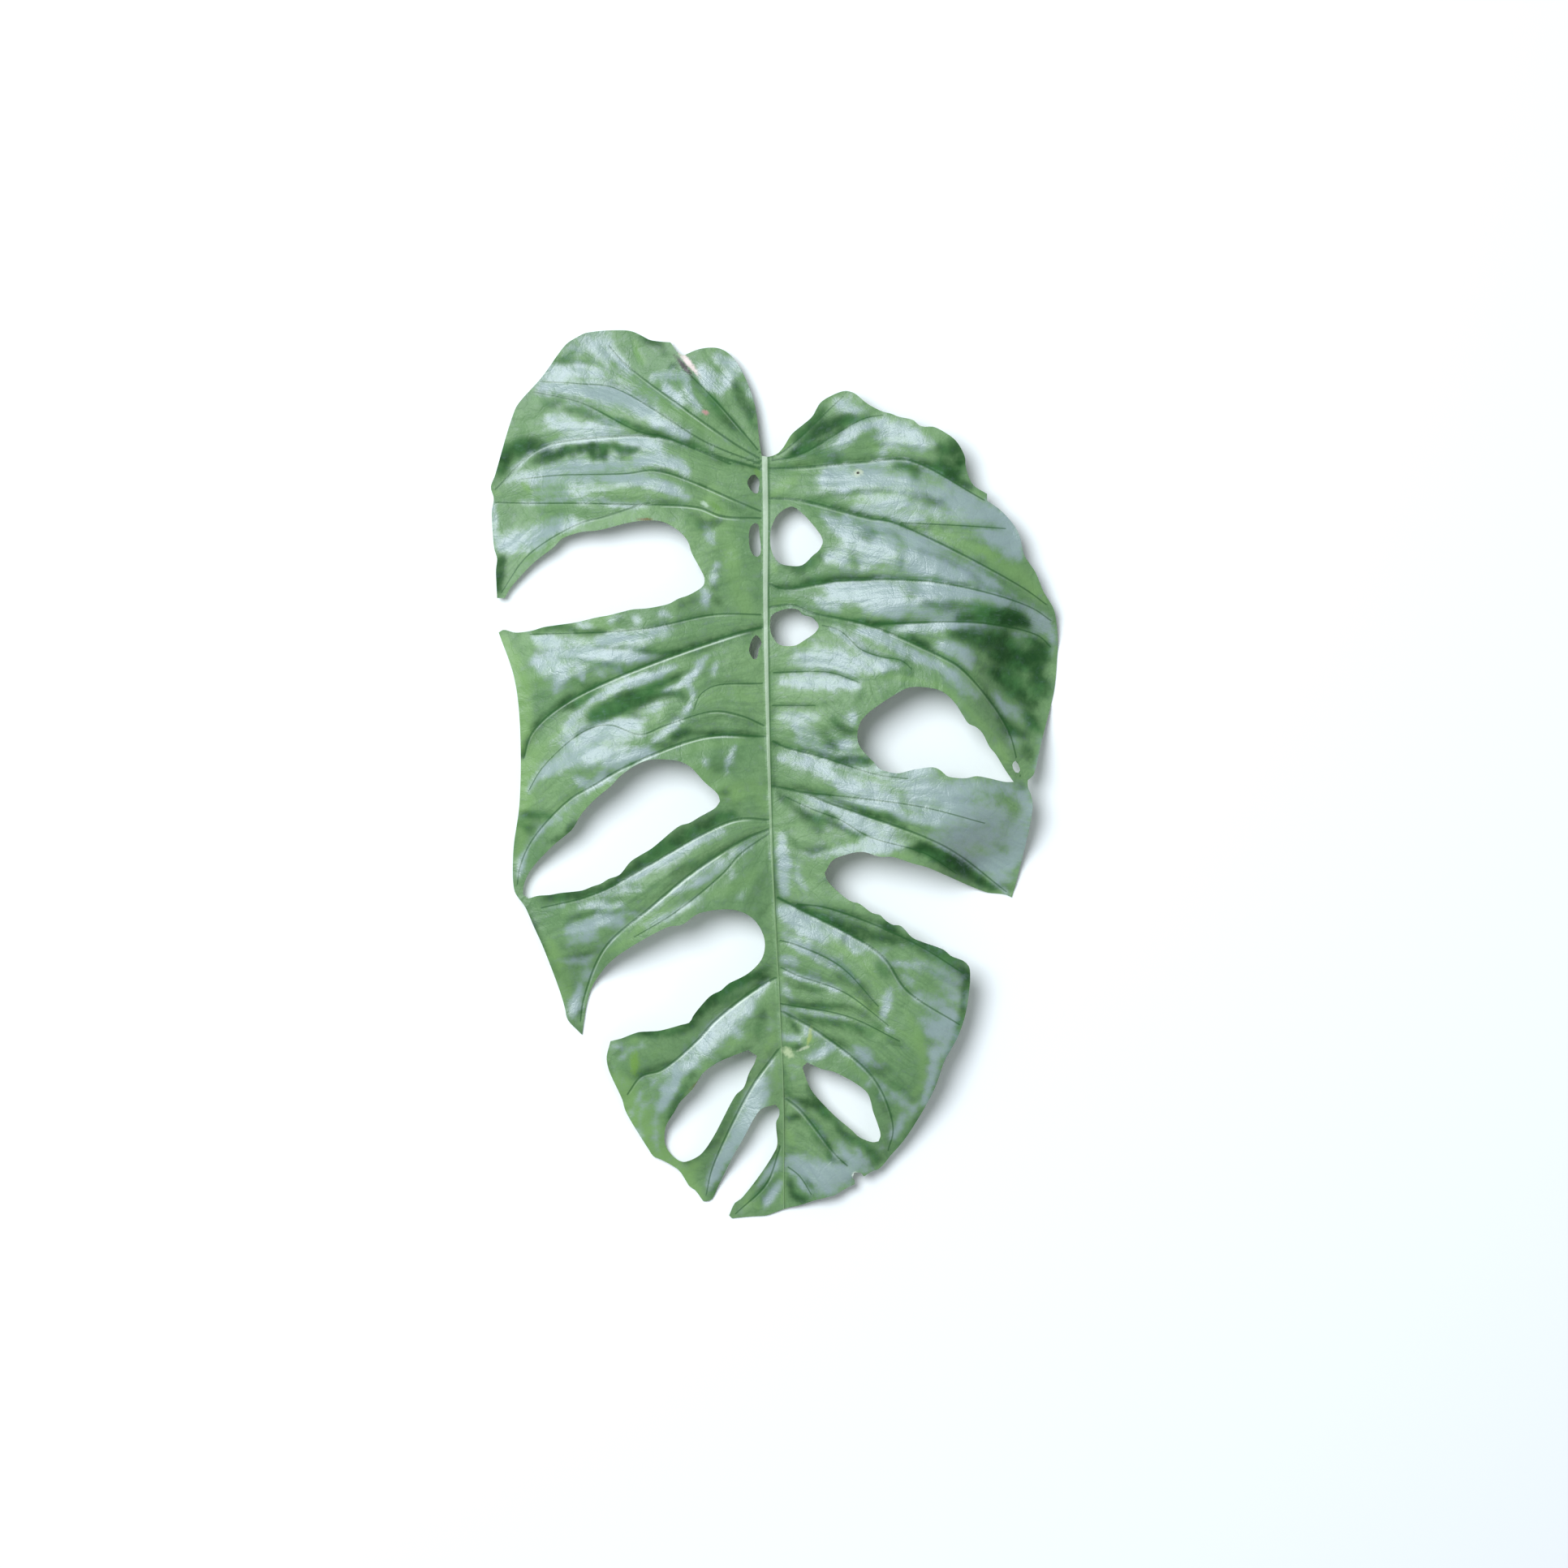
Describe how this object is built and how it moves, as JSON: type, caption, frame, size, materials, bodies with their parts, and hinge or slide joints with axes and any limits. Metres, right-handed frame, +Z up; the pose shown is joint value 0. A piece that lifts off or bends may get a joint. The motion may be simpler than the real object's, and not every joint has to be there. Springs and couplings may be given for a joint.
{
  "type": "monstera leaf",
  "caption": "Picked monstera leaf with slots and holes between its side veins, lying face up and resting on the low points of its drooping margin.",
  "frame": {"origin": "centre of the leaf's plan, on the surface that it lies on", "axes": "+Y from the drip tip to the stalk end, +X to the leaf's right as seen from above, +Z up"},
  "size_m": [0.295, 0.462, 0.028],
  "materials": {
    "leaf": "waxy semi-gloss green leaf with pale veins"
  },
  "bodies": {
    "root": {"leaf": "leaf"}
  },
  "joints": []
}
